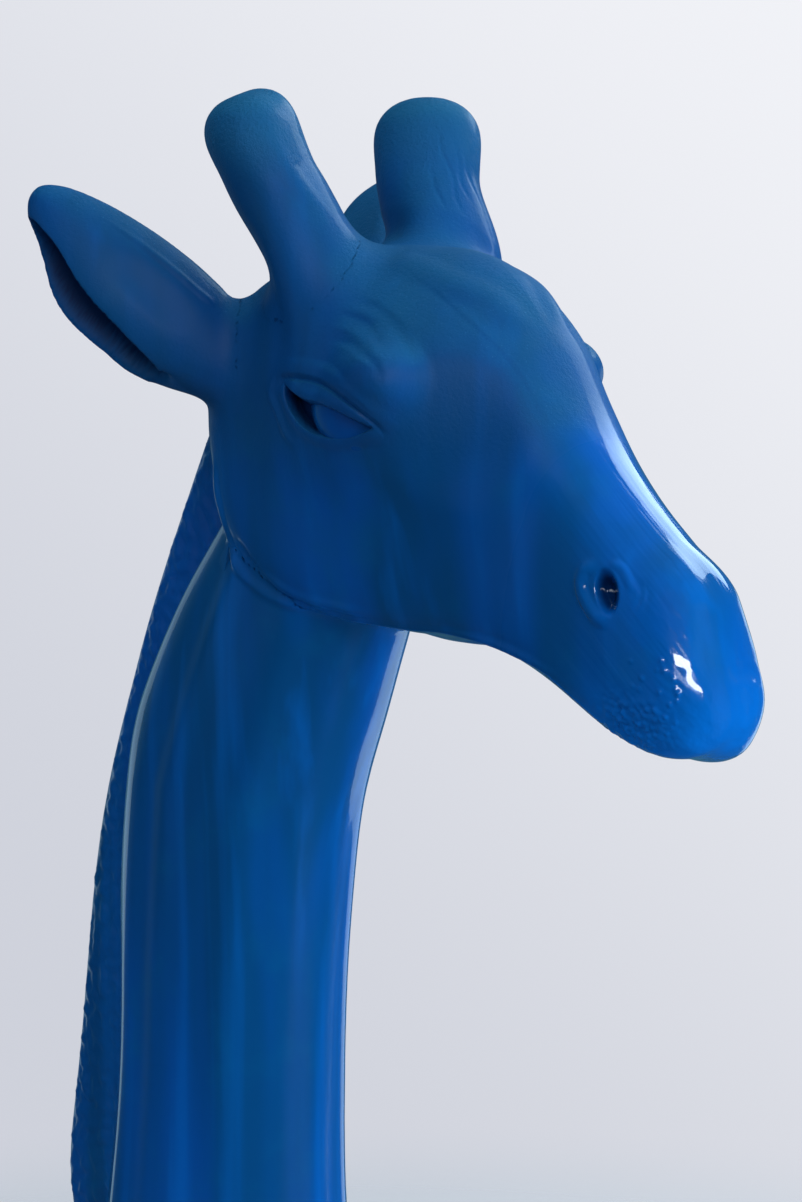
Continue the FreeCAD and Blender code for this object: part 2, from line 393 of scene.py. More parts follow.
HORN_FOOT = np.array((49.0, -66.0, 740.0)) * MM
HORN_TIP = np.array((81.0, -33.0, 849.0)) * MM
EAR_ROOT = np.array((50.0, -12.0, 694.0)) * MM
EAR_TIP = np.array((149.0, 64.0, 790.0)) * MM
NOSTRIL = (41, -296, 569)  # in millimetres, as strokes' points are
CORNER_OF_MOUTH = (38, -325, 515)
EAR_FACES = np.array((0.67, 0.18, -0.8))


def ear_axes():
    """The left ear's root, length and unit vectors: along, towards its mouth, and across."""
    run = EAR_TIP - EAR_ROOT
    length = np.linalg.norm(run)
    out = run / length
    face = EAR_FACES - out * (EAR_FACES @ out)
    face /= np.linalg.norm(face)
    return length, out, face, np.cross(out, face)


def ear_places(clay):
    """Each point's share of the ear's length, depth towards its mouth and place across, in mm."""
    length, out, face, across = ear_axes()
    at = mirror(clay.at) - EAR_ROOT
    return at @ out / length, at @ face / MM, at @ across / MM


def ear_plugs():
    """Ovals that fill the ears' hollows, which are then carved with clean rims."""
    length, out, face, across = ear_axes()
    bm = bmesh.new()
    centre = EAR_ROOT + out * 0.56 * length + face * 21 * MM
    columns = (out * 50 * MM, face * 25 * MM, across * 19 * MM, centre)
    place = Matrix([*zip(*columns), (0, 0, 0, 1)])
    bmesh.ops.create_icosphere(bm, subdivisions=4, radius=1.0, matrix=place)
    flip = Matrix.Scale(-1, 4, (1, 0, 0))
    bmesh.ops.create_icosphere(bm, subdivisions=4, radius=1.0, matrix=flip @ place)
    bmesh.ops.recalc_face_normals(bm, faces=bm.faces[:])
    return mesh_from(bm, "ear_plugs", False)


def swell(clay, centre, radius, push):
    """Moves the clay round a point, and round its mirror image, by push, in millimetres."""
    share = bump(gap_to(mirror(clay.at), centre) / (radius * MM))
    clay.shift(share[:, None] * np.array(push) * MM)


def shape_head(clay):
    """The large forms: brows, temples, cheeks and lips."""
    at = mirror(clay.at)
    eye = piece_centre("eye_left") / MM
    clay.smooth(0.9 * bump(gap_to(at, eye) / (58 * MM)), 220)
    for centre, radius, push in (
        (eye + (20, -29, 12), 42, (8, -2, 3)),
        ((66, -196, 655), 50, (-6, 4, 0)),
        ((32, -184, 742), 60, (-1.2, 1.6, -2.2)),
        ((12, -336, 572), 42, (2, -5, 3)),
    ):
        swell(clay, centre, radius, push)
    clay.smooth(0.9 * bump(gap_to(at, (32, -336, 532)) / (36 * MM)), 90)


def flare_horns(clay):
    """Thickens the horns' fronts and sweeps their feet forward over the skull."""
    at = mirror(clay.at)
    run = HORN_TIP - HORN_FOOT
    out = run / np.linalg.norm(run)
    height = (at - HORN_FOOT) @ out
    radial = at - HORN_FOOT - height[:, None] * out
    reach = np.linalg.norm(radial, axis=1)
    radial /= np.maximum(reach, 1e-6)[:, None]
    front = step(-radial[:, 1], -0.4, 0.8)
    near = bump((reach - 20 * MM) / (42 * MM))
    foot = bump((height - 14 * MM) / (54 * MM)) * near
    top = step(height, 26 * MM, 60 * MM) * near
    move = (9.0 * foot * front + 1.2 * top * (1 - 0.4 * front))[:, None] * radial
    outer = step(radial[:, 0], 0.1, 0.9) * (clay.at[:, 0] > 0)
    inner = step(-radial[:, 0], 0.0, 0.8) * (clay.at[:, 0] < 0)
    move += (6.0 * foot * outer + 3.5 * top * inner)[:, None] * radial
    move[:, 1] -= 9.0 * bump((height - 12 * MM) / (60 * MM)) * near * (1 - front)
    clay.shift(move * MM)


def shape_ears(clay):
    """Widens each ear's rear rim and sets its tip; the left one was carved higher."""
    _, out, face, across = ear_axes()
    share, depth, side = ear_places(clay)
    ear = (share > 0.1) & (share < 1.2) & (np.abs(depth - 10) < 60) & (np.abs(side) < 40)
    belly = bump((share - 0.55) / 0.5) * ear
    left = clay.at[:, 0] > 0
    rear = np.where(left, 15.0 * bump((share - 0.78) / 0.5) * ear, 8.0 * belly)
    move = (rear * step(side, -2, 14))[:, None] * across
    move += (4.0 * belly * step(side, -6, 12) + 1.0 * ear * step(share, 0.5, 1))[:, None] * face
    move += (3.0 * ear * step(share, 0.8, 1.0))[:, None] * out
    move[:, 2] += np.where(left, 9.0, 1.5) * ear * step(share, 0.25, 0.9)
    clay.shift(move * MM)


def refine(obj, wanted, cuts):
    """Divides the faces whose middles are wanted, given as rows of mirrored points."""
    bm = opened(obj.data)
    middles = mirror(np.array([f.calc_center_median() for f in bm.faces]))
    chosen = np.flatnonzero(wanted(middles))
    bm.faces.ensure_lookup_table()
    edges = {e for i in chosen for e in bm.faces[i].edges}
    bmesh.ops.subdivide_edges(bm, edges=list(edges), cuts=cuts, use_grid_fill=True)
    bm.to_mesh(obj.data)
    bm.free()


def divide_for_detail(blank):
    """Divides the blank where eyes, nostrils, lips, horns and ears need finer points."""
    length, out, _, _ = ear_axes()

    def eye(at):
        return (at[:, 0] > 0.05) & (np.hypot(*(eye_plane(at) / EYE_DETAIL).T) < 1)

    def ear(at):
        beyond = (at - EAR_ROOT) @ out > 0.25 * length
        return beyond & (at[:, 0] > 0.07) & (at[:, 1] > -0.03)

    def horn(at):
        return (at[:, 2] > 0.765) & (at[:, 1] < -0.02)

    def nostril(at):
        return gap_to(at, NOSTRIL) < 24 * MM

    def lips(at):
        return gap_to(at, CORNER_OF_MOUTH) < 36 * MM

    refine(blank, lambda at: eye(at) | nostril(at), 2)
    refine(blank, lambda at: lips(at) | horn(at) | ear(at), 1)


def snapped(clay, points):
    """The points, in millimetres, moved to the nearest place on the clay's surface."""
    clay.write()
    bpy.context.view_layer.update()
    tree = BVHTree.FromObject(clay.obj, bpy.context.evaluated_depsgraph_get())
    return np.array([tree.find_nearest(Vector(p) * MM)[0] for p in points])


def near_line(clay, points, width, side):
    """The clay's points and a line on its surface, with each point's distance and share."""
    flip = (-1, 1, 1) if side == "right" else (1, 1, 1)
    line = smooth_line(snapped(clay, np.array(points, float) * flip))
    at = mirror(clay.at) if side == "both" else clay.at
    return at, line, *along(at, line, 3 * width * MM)


def stroke(clay, points, width, height, ends=0.2, side="both"):
    """Raises, or with a negative height cuts, a soft line through points on the left side."""
    _, _, distance, share = near_line(clay, points, width, side)
    clay.raise_by(height * MM * tapered(share, ends) * bump(distance / (width * MM)))


def lip(clay, points, towards, width, height, ends=0.2, side="both"):
    """A paint edge along a line: raised on the side it faces away from, cut on the other."""
    towards = np.array(towards, float)
    if side == "right":
        towards = towards * (-1, 1, 1)
    at, line, distance, share = near_line(clay, points, width, side)
    nearest = line[np.clip((share * (len(line) - 1)).round().astype(int), 0, len(line) - 1)]
    across = (at - nearest) @ (towards / np.linalg.norm(towards)) / (width * MM)
    profile = -np.tanh(across * 4) * bump(distance / (width * MM))
    clay.raise_by(height * MM * tapered(share, ends) * profile)


# ---- the eye ----

EYE_MIDDLE = np.array((-112.0, 670.0))  # Y and Z, in millimetres
EYE_TILT = math.radians(17.6)  # the front corner is the lower one
EYE_DETAIL = (48, 28)  # half the length and height round the eye that gets finer points
LID_CREASE = [(-44, -6), (-41, 2), (-27, 7), (-8, 11), (13, 13), (29, 11), (42, 5), (50, -4)]
LID_EDGE = [(-40, -1), (-30, -3), (-16, -3), (4, 1), (20, 2), (34, 1), (45, 0)]
LOWER_LID = [(-40, -1), (-36, -10), (-26, -18), (-12, -21), (5, -19), (20, -14), (33, -7), (45, 2)]
EYE_BALL_AT = (58.0, -123.0, 662.0)


def eye_plane(at):
    """Each point's place round the eye: forwards along its slit, and up, in millimetres."""
    y, z = (at[:, 1:] / MM - EYE_MIDDLE).T
    c, s = math.cos(EYE_TILT), math.sin(EYE_TILT)
    return np.column_stack([-y * c - z * s, -y * s + z * c])


def flat_line(points):
    return smooth_line([(u, v, 0) for u, v in points], 10)


def height_of(line, u):
    """A flat line's height at each u; the line runs forwards."""
    return np.interp(u, line[:, 0], line[:, 1])


def carve_eye(clay, depth):
    """Lids round a deep socket, with the fold over the upper lid."""
    at = mirror(clay.at)
    plane = eye_plane(at)
    u, v = plane.T
    near = (at[:, 0] > 50 * MM) & (np.abs(u) < 70) & (np.abs(v) < 50)
    flat = np.column_stack([plane, np.zeros(len(plane))])
    flat[~near] = 1e3
    edge = flat_line(LID_EDGE)
    under = flat_line(LOWER_LID)
    rim = np.vstack([edge, under[::-1]])
    gap, _ = along(flat, rim, 30)
    inside = (
        near
        & (u > edge[0, 0])
        & (u < edge[-1, 0])
        & (v < height_of(edge, u))
        & (v > height_of(under, u))
    )
    signed = np.where(inside, gap, -gap)
    socket = -depth / MM * step(signed, -0.3, 3.6)
    crease, share = along(flat, flat_line(LID_CREASE), 20)
    over = v > height_of(flat_line(LID_CREASE), u)
    fold = -2.2 * tapered(share, 0.15) * bump(crease / 2.8)
    roll = 1.6 * tapered(share, 0.2) * bump((crease - 6) / 7) * over
    upper, share_u = along(flat, edge, 20)
    lid = 2.6 * tapered(share_u, 0.2) * bump((upper - 3) / 7) * (v > height_of(edge, u)) * ~inside
    lower, share_l = along(flat, under, 20)
    pad = 1.5 * tapered(share_l, 0.12) * bump((lower - 2.5) / 6) * ~inside * (v < 0)
    height = np.where(near, socket + fold + roll + lid + pad, 0)
    clay.sink(np.where(near, -socket, 0))
    outward = np.array((0.93, -0.33, 0.12))
    clay.shift(height[:, None] * MM * outward)
    clay.smooth(0.6 * near * (np.abs(u) < 60) * (np.abs(v) < 36), 2)


# ---- features of the head ----


BROW_STROKES = (  # points in millimetres, width, height
    ([(73, -111, 722), (72, -127, 719), (74, -139, 715), (88, -166, 702)], 3.8, -0.7),
    (
        [(79, -103, 709), (83, -131, 706), (94, -153, 701), (96, -164, 696), (94, -171, 683)],
        3.8,
        -0.9,
    ),
    ([(76, -108, 715), (78, -129, 712), (85, -150, 706), (93, -165, 697)], 4.5, 0.7),
    (
        [(66, -111, 731), (65, -135, 725), (69, -155, 716), (75, -173, 702), (83, -179, 688)],
        5.0,
        -0.6,
    ),
    ([(79, -67, 692), (77, -58, 675), (76, -63, 665), (75, -68, 654), (74, -77, 641)], 3.6, 1.5),
)
CROWN_SEAM = [(39, -125, 750), (45, -174, 730), (41, -196, 713), (32, -219, 688), (28, -240, 655)]
PAINT_RUN = [(34, -112, 754), (36, -140, 750), (36, -167, 743), (24, -193, 731), (16, -212, 708)]
JAW_REAR = [(60, 6, 640), (59, 6, 615), (57, 3, 590), (56, -4, 572), (56, -22, 558), (51, -48, 548)]
JAW_FRONT = [(46, -90, 541), (41, -134, 538), (39, -186, 537), (38, -226, 529), (35, -262, 514)]
JAW_FOLD = [(56, -16, 582), (55, -34, 566), (50, -56, 556), (46, -90, 551), (42, -120, 548)]
JAW_GROOVE = [(57, -6, 590), (56, -24, 572), (52, -44, 561)]
MOUTH = [(-8, -356, 528), (2, -357, 527), (14, -354, 525), (26, -345, 521)]


def carve_brow_and_jaw(clay):
    """Brow wrinkles, the seam over the crown, a run of paint and the jaw's rim."""
    for points, width, height in BROW_STROKES:
        stroke(clay, points, width, height)
    lip(clay, CROWN_SEAM, (1, 0, -0.6), 3.5, 0.4, side="right")
    stroke(clay, PAINT_RUN, 15.0, 2.0)
    stroke(clay, JAW_REAR + JAW_FRONT, 4.5, 2.6, 0.12)
    stroke(clay, JAW_FOLD, 5.0, 1.8, 0.25)
    stroke(clay, JAW_GROOVE, 5.0, -1.6, 0.3)


def carve_lips(clay):
    stroke(clay, MOUTH, 8, -1.7, 0.3, "left")
    swell(clay, (16, -352, 508), 26, (1.5, -3.0, 0.0))
    swell(clay, (30, -338, 529), 36, (1.0, -2.6, 0.0))


def carve_nostril(clay, depth):
    middle = snapped(clay, [(41, -294, 569)])[0]
    long_axis = np.array((-0.1, 0.33, 0.93))
    long_axis /= np.linalg.norm(long_axis)
    rear = [(39, -287, 585), (43, -277, 580), (45, -277, 568), (45, -287, 555), (43, -299, 552)]
    stroke(clay, rear, 6.0, 2.8, 0.25)
    stroke(clay, [(38, -291, 587), (37, -302, 582), (37, -310, 568)], 4.0, 1.2, 0.3)
    at = mirror(clay.at) - middle
    up = at @ long_axis
    flat = np.linalg.norm(at - up[:, None] * long_axis, axis=1)
    for gap in (7, 12):
        arc = [(38, -303 - gap, 583), (37, -308 - gap, 570), (39, -305 - gap, 557)]
        stroke(clay, arc, 3.0, -0.5, 0.4)
    reach = np.hypot(flat / (8.0 * MM), up / (14.5 * MM))
    inward = np.array((-0.75, 0.45, -0.1))
    push = depth * step(-reach, -1.05, -0.25) * (np.linalg.norm(at, axis=1) < 0.03)
    clay.sink(push / MM)
    clay.shift(push[:, None] * inward)


def gather_paint(clay):
    """Lumps of thick paint under the chin, and small beads beside the lips."""
    chin = np.array((38, -308, 496)) * MM
    at = mirror(clay.at)
    reach = np.linalg.norm((at - chin) * (1, 0.55, 1), axis=1) / (24 * MM)
    near = np.flatnonzero(reach < 1)
    height = np.zeros(len(at))
    for i in near:
        place = Vector(clay.at[i])
        height[i] = noise.noise(place * 330) + 0.6 * noise.noise(place * 700)
    clay.raise_by(2.4 * MM * height * bump(reach))
    scatter = np.random.default_rng(5)
    places = scatter.uniform((39, -345, 496), (41, -312, 536), (22, 3))
    for middle in snapped(clay, places):
        size = scatter.uniform(1.4, 2.6) * MM
        gap = np.linalg.norm(mirror(clay.at) - middle, axis=1)
        clay.raise_by(0.45 * size * bump(gap / size))


def carve_horns(clay):
    """A flat worn along the right horn's front, and drying cracks down the left one."""
    flat = [(86, -66, 832), (84, -71, 817), (71, -79, 794), (58, -88, 768)]
    stroke(clay, flat, 10.0, 1.0, 0.4, "right")
    cracks = (
        [(58, -66, 838), (56, -72, 822), (59, -80, 806), (55, -84, 788), (58, -90, 770)],
        [(66, -70, 832), (67, -77, 815), (64, -83, 800), (67, -88, 784)],
        [(74, -72, 826), (73, -80, 806), (76, -86, 788), (73, -92, 768), (76, -98, 756)],
        [(49, -68, 812), (47, -74, 794), (49, -80, 776)],
    )
    for crack in cracks:
        stroke(clay, crack, 2.2, -0.5, 0.3, "left")


# ---- neck and mane ----


def carve_neck(clay, gaps, depth):
    """Long soft planes down the neck, from a broad gouge."""
    neck = gaps.argmin(1) == CARVED.index("neck_column")
    z = clay.at[:, 2] / MM
    middle = np.interp(z, (36, 312, 428, 544, 655), (72, 60, 47, -1, -39)) * MM
    turn = np.arctan2(clay.at[:, 0], -(clay.at[:, 1] - middle))
    planes = np.cos(9 * turn + 0.4 + 0.003 * z) + 0.5 * np.cos(14 * turn - 0.004 * z)
    fade = step(z, 40, 120) * step(-z, -600, -540)
    clay.raise_by(depth * planes * neck * fade)


def carve_mane(clay, gaps, depth):
    """Short slanting cuts across the mane's sides."""
    mane = gaps.argmin(1) == CARVED.index("mane_strip")
    y, z = clay.at[:, 1] / MM, clay.at[:, 2] / MM
    back = bump((z - 560) / 170) * step(y - np.interp(z, (400, 620), (120, 40)), 0, 30)
    clay.at[:, 1] += 6.0 * MM * back * mane
    height = 0
    for slant, gap, wave in ((0.8, 6.5, 17.0), (-0.45, 9.5, 29.0), (0.2, 13.0, 41.0)):
        phase = (z + slant * y) / gap + 1.4 * np.sin(z / wave) + 1.1 * np.sin(y / 9.0 + z / wave)
        height = height + (np.abs(np.sin(np.pi * phase)) - 0.6) / 2.2
    rough = np.zeros(len(z))
    for i in np.flatnonzero(mane):
        rough[i] = noise.noise(Vector(clay.at[i]) * 140)
    height = height + 1.6 * rough
    flank = step(np.abs(clay.normals()[:, 0]), 0.74, 0.94)
    clay.raise_by(depth * height * mane * flank * step(np.abs(clay.at[:, 0]), 0.003, 0.008))


# ---- ears ----


def carve_ears(clay, deep):
    """Each ear's long mouth, the scoop below it and the ledge along its upper rim."""
    share, depth, side = ear_places(clay)
    ear = (share > 0.12) & (share < 1.05) & (np.abs(depth - 10) < 50) & (np.abs(side) < 36)
    clay.smooth(0.8 * ear * step(depth, 4, 12) * step(share, 0.2, 0.35), 30)
    clay.raise_by(2.0 * MM * ear * step(share, 0.12, 0.4))
    half = 18.0 * np.sqrt(np.clip(1 - ((share - 0.6) / 0.38) ** 2, 0, 1))
    open_side = step(half - np.abs(side - 1.0), 0.0, 4.0)
    hollow = ear * open_side * step(depth, 2, 14) * (half > 0)
    push = deep / MM * hollow
    clay.shift(-push[:, None] * MM * ear_axes()[2])
    clay.sink(push)
    clay.smooth(0.5 * ear * step(depth, -20, -5), 3)
    root = gap_to(mirror(clay.at), (76, 6, 672))
    clay.smooth(0.9 * bump(root / (34 * MM)), 60)
    scoop = [(141, 8, 760), (128, -2, 744), (112, -8, 727), (96, -14, 708)]
    stroke(clay, scoop, 15.0, -2.2, 0.35)
    ledge = [(140, 24, 790), (121, 2, 774), (103, -14, 755), (86, -24, 737), (70, -34, 724)]
    stroke(clay, ledge, 4.0, 1.1, 0.2)


def gloss_of(clay, gaps):
    """How glossy the paint is: wet on the muzzle and neck, dull on the crown and horns.

    On the side towards the giraffe's front left even the dull paint keeps some of its gloss.
    """
    _, y, z = clay.at.T
    head = gaps[:, CARVED.index("neck_column")] > 0.002
    dull = head * step(z, 0.60, 0.70) * step(y + 0.3 * (z - 0.66), -0.262, -0.222)
    wet = step(-y - 0.3 * (z - 0.66), 0.245, 0.285) + 0.5 * (1 - head) * step(-z, -0.66, -0.45)
    kept = step(clay.normals() @ (0.707, -0.707, 0.0), 0.4, 0.8)
    return np.clip(0.55 - (0.55 - 0.32 * kept) * dull + 0.45 * wet, 0, 1)


def piece_centre(node):
    low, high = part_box(node)
    return np.array((low + high) / 2)


# ---- the plinth ----


def plinth_board(edge):
    """An oval board with a rounded upper edge, softened by many coats."""
    low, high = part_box("plinth")
    half = (high - low) / 2
    bm = bmesh.new()
    bmesh.ops.create_circle(bm, cap_ends=True, segments=160, radius=1.0)
    top = bmesh.ops.extrude_face_region(bm, geom=bm.faces[:])["geom"]
    raised = [v for v in top if isinstance(v, bmesh.types.BMVert)]
    bmesh.ops.scale(bm, verts=bm.verts[:], vec=(half.x, half.y, 1))
    bmesh.ops.translate(bm, verts=raised, vec=(0, 0, 2 * half.z))
    bmesh.ops.recalc_face_normals(bm, faces=bm.faces[:])
    for level, size in ((2 * half.z, edge), (0.0, edge / 4)):
        rim = [e for e in bm.edges if all(abs(v.co.z - level) < 1e-6 for v in e.verts)]
        bmesh.ops.bevel(
            bm, geom=rim, offset=size, segments=5, profile=0.5, affect="EDGES", material=-1
        )
    caps = [f for f in bm.faces if len(f.verts) > 4]
    for width in (0.006, 0.02, 0.03):
        bmesh.ops.inset_region(bm, faces=caps, thickness=width, use_even_offset=True)
    sides = [e for e in bm.edges if abs(e.verts[0].co.z - e.verts[1].co.z) > half.z]
    bmesh.ops.subdivide_edges(bm, edges=sides, cuts=5, use_grid_fill=True)
    for v in bm.verts:
        wave = noise.noise(v.co * 28) + 0.5 * noise.noise(v.co * 75)
        inwards = Vector((v.co.x, v.co.y, 0)).normalized()
        v.co -= inwards * (0.5 + 0.5 * wave) * 0.8 * MM
    bmesh.ops.translate(bm, verts=bm.verts[:], vec=((low + high) / 2 - Vector((0, 0, half.z))))
    mesh = mesh_from(bm, "plinth_board")
    even_coat(mesh, 0.85)
    return new_object("plinth_board", mesh)


# ---- parting along the joints ----


def face_owners(clay, gaps, rounds):
    """Which carved piece each face belongs to, with stray patches given to their neighbours."""
    field = gaps.copy()
    for _ in range(rounds):
        field = 0.5 * field + 0.5 * clay.average(field)
    owner = field.argmin(1)
    a, b = clay.pairs.T
    same = owner[a] == owner[b]
    label = patches(len(owner), a[same], b[same])
    for piece in range(gaps.shape[1]):
        mine = owner == piece
        if not mine.any():
            continue
        main = np.bincount(label[mine]).argmax()
        owner[mine & (label != main)] = -1
    while (owner < 0).any():
        new = owner.copy()
        for here, there in ((a, b), (b, a)):
            fill = (owner[here] < 0) & (owner[there] >= 0)
            new[here[fill]] = owner[there[fill]]
        owner = new
    mesh = clay.obj.data
    corners = gathered(mesh.loops, "vertex_index", kind=np.int32)
    totals = gathered(mesh.polygons, "loop_total", kind=np.int32)
    votes = np.zeros((len(totals), gaps.shape[1]), int)
    np.add.at(votes, (np.repeat(np.arange(len(totals)), totals), owner[corners]), 1)
    return votes.argmax(1)


def part_piece(blank, name, keep):
    """A closed piece of the blank's kept faces, its joint face flat inside the joint."""
    bm = opened(blank.data)
    bm.faces.ensure_lookup_table()
    gone = [bm.faces[i] for i in np.flatnonzero(~keep)]
    bmesh.ops.delete(bm, geom=gone, context="FACES")
    rim = [e for e in bm.edges if e.is_boundary]
    for e in rim:
        e.smooth = False
    filled = bmesh.ops.holes_fill(bm, edges=rim, sides=0)["faces"]
    bmesh.ops.triangulate(bm, faces=filled, ngon_method="BEAUTY")
    bmesh.ops.recalc_face_normals(bm, faces=bm.faces[:])
    return new_object(name, mesh_from(bm, name))


def finish_piece(obj, material, slot, *nodes):
    obj.data.materials.clear()
    obj.data.materials.append(material)
    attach(obj, BODY)
    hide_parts(*nodes)
    return obj


# ---- materials ----

NOSE_TURN = (math.radians(-43), 0.0, 0.0)  # turns the line of the nose to lie along Y


class Socket:
    """A shader value that adds its Math nodes as it is worked with."""

    def __init__(self, paint, output):
        self.paint = paint
        self.output = output

    def math(self, operation, *values):
        return self.paint.node("ShaderNodeMath", {"operation": operation}, values)

    def __add__(self, other):
        return self.math("ADD", self, other)

    def __mul__(self, other):
        return self.math("MULTIPLY", self, other)

    def __sub__(self, other):
        return self.math("SUBTRACT", self, other)

    def __rsub__(self, other):
        return self.math("SUBTRACT", other, self)

    __radd__ = __add__
    __rmul__ = __mul__


class Paint:
    """The node tree of a material or a world, with one method that adds any node."""

    def __init__(self, owner):
        owner.use_nodes = True
        self.owner = owner
        self.tree = owner.node_tree

    def node(self, kind, settings=None, inputs=None, output=0):
        node = self.tree.nodes.new(kind)
        for key, value in (settings or {}).items():
            setattr(node, key, value)
        items = inputs.items() if isinstance(inputs, dict) else enumerate(inputs or [])
        for key, value in items:
            self.feed(node.inputs[key], value)
        return Socket(self, node.outputs[output])

    def feed(self, socket, value):
        if isinstance(value, Socket):
            self.tree.links.new(value.output, socket)
        else:
            socket.default_value = value

    def set(self, **values):
        shader = self.tree.nodes["Principled BSDF"]
        for key, value in values.items():
            self.feed(shader.inputs[key.replace("_", " ")], value)

    def object_coordinates(self):
        return self.node("ShaderNodeTexCoord", output="Object")

    def stretched(self, scale, vector=None):
        inputs = {"Vector": vector or self.object_coordinates(), "Scale": scale}
        return self.node("ShaderNodeMapping", inputs=inputs)

    def noise(self, scale, detail=2.0, roughness=0.5, vector=None):
        inputs = {"Scale": scale, "Detail": detail, "Roughness": roughness}
        inputs["Vector"] = vector or self.object_coordinates()
        return self.node("ShaderNodeTexNoise", inputs=inputs)

    def range(self, value, low, high, to_low=0.0, to_high=1.0):
        inputs = {"Value": value, "From Min": low, "From Max": high}
        inputs |= {"To Min": to_low, "To Max": to_high}
        return self.node("ShaderNodeMapRange", {"interpolation_type": "SMOOTHSTEP"}, inputs)

    def mix(self, share, first, second):
        colours = {0: share, 6: first, 7: second}
        return self.node("ShaderNodeMix", {"data_type": "RGBA"}, colours, 2)

    def bump(self, height, distance, strength=1.0, normal=None):
        inputs = {"Height": height, "Distance": distance, "Strength": strength}
        if normal:
            inputs["Normal"] = normal
        return self.node("ShaderNodeBump", inputs=inputs, output="Normal")


COLOURS = ("deep", "body", "teal", "bright", "dry", "dust_and_top_light", "hollow_shade_blue")
MUZZLE = (-0.30, -0.22)  # along Y, where the wet muzzle and its painted light begin
CHIN_LIGHT = (0.485, 0.535)  # heights over which the painted light on the chin fades
HORN_TOPS = (0.79, 0.83)  # heights over which the dusty horn tops begin


def rgba(colour):
    return (*colour[:3], 1.0)


def blue_enamel(name="blue_enamel", strength=1.0):
    """Thick gloss enamel: darkened in the hollows as painted shade, and dusty, gritty and lightened
    as painted top light where it faces up.
    """
    paint = Paint(bpy.data.materials.new(name))
    across, height = (
        paint.node("ShaderNodeSeparateXYZ", inputs=[paint.object_coordinates()], output=axis)
        for axis in "YZ"
    )
    up, gloss, pool = (
        paint.node("ShaderNodeAttribute", {"attribute_name": name}, output="Fac")
        for name in ("up", "gloss", "pool")
    )
    dull = paint.range(gloss, 0.2, 0.7, 1.0, 0.0)
    drift = paint.noise(1.0, 3.0, 0.55, paint.stretched((13.0, 13.0, 1.3)))
    cloud = paint.noise(18.0, 4.0, 0.6)
    streak = paint.noise(1.0, 3.0, 0.5, paint.stretched((42.0, 42.0, 1.4)))
    place = {"Vector": paint.object_coordinates(), "Rotation": NOSE_TURN}
    turned = paint.node("ShaderNodeMapping", inputs=place)
    nose = paint.noise(1.0, 3.0, 0.5, paint.stretched((60.0, 5.0, 60.0), turned))
    enamel = bpy.context.scene.giraffe_enamel
    # a strength below 1 darkens every colour, for a shaded copy
    deep, body, teal, bright, dry, dust_and_top_light, hollow_shade_blue = (
        rgba([strength * part for part in colour])
        for colour in (getattr(enamel, name) for name in COLOURS)
    )
    colour = paint.mix(paint.range(drift, 0.38, 0.62), deep, body)
    colour = paint.mix(paint.range(cloud, 0.5, 0.78, 0.0, 0.35), colour, teal)
    colour = paint.mix(paint.range(streak, 0.5, 0.75, 0.0, 0.5), colour, bright)
    # painted light: the muzzle is lightened towards the bright blue, the chin more strongly
    front = paint.range(across, *MUZZLE, 1.0, 0.0)
    chin = paint.range(height, *CHIN_LIGHT, 1.0, 0.0) * front
    colour = paint.mix(front * 0.3 + chin * 0.7, colour, bright)
    colour = paint.mix(dull * 0.65, colour, dry)
    speck = paint.noise(900.0, 2.0, 0.6)
    grit = paint.noise(420.0, 4.0, 0.7)
    # painted top light, with dust and grit: the dull paint is lightened where it faces up
    up_dust_and_light = paint.range(up + (cloud - 0.5) * 0.5, 0.25, 0.8) * dull
    tops = paint.range(height, *HORN_TOPS) * dull
    # lightens what faces up as painted top light, and the dusty horn tops
    colour = paint.mix(up_dust_and_light * 0.45 + tops * 0.5, colour, dust_and_top_light)
    specks = up_dust_and_light * paint.range(speck, 0.62, 0.78) * 0.6
    colour = paint.mix(specks, colour, rgba((0.05, 0.24, 0.48)))
    # painted shade: the hollows' colour is darkened towards a near-black blue
    colour = paint.mix(pool * 0.85, colour, hollow_shade_blue)
    rough = paint.range(gloss, 0.0, 1.0, 0.52, 0.12) + up_dust_and_light * 0.1 + (cloud - 0.5) * 0.06
    sag = paint.bump(streak, 0.0012, 0.35)
    drawn = paint.bump(nose * front, 0.0028, 0.9, sag)
    peel = paint.bump(paint.noise(160.0, 2.0, 0.5), 0.00025, 0.4, drawn)
    gritty = (up_dust_and_light * 0.7 + 0.3) * dull + tops * 1.2
    paint.set(
        Base_Color=colour,
        Roughness=rough,
        Normal=paint.bump(grit * gritty, 0.0011, 0.8, peel),
        Coat_Weight=paint.range(gloss, 0.1, 0.9, 0.0, 1.0),
        Coat_Roughness=0.04,
        Specular_IOR_Level=0.11,
    )
    return paint.owner


def plain_finish(name, colour, second, scale, rough, metallic=0.0, stretch=(1, 1, 1)):
    """A finish with a fine two-tone grain."""
    paint = Paint(bpy.data.materials.new(name))
    grain = paint.noise(scale, 5.0, 0.6, paint.stretched(stretch))
    paint.set(
        Base_Color=paint.mix(paint.range(grain, 0.35, 0.65), rgba(colour), rgba(second)),
        Roughness=paint.range(grain, 0.3, 0.7, rough - 0.08, rough + 0.08),
        Metallic=metallic,
        Normal=paint.bump(grain, 0.0004, 0.4),
    )
    return paint.owner


# ---- stage ----


def view_axes():
    """Right, up and towards the camera, as seen from the camera."""
    view = bpy.context.scene.giraffe_stage
    level = math.cos(view.elevation)
    x, y = math.sin(view.azimuth) * level, -math.cos(view.azimuth) * level
    back = Vector((x, y, math.sin(view.elevation)))
    right = Vector((0, 0, 1)).cross(back).normalized()
    return right, back.cross(right), back


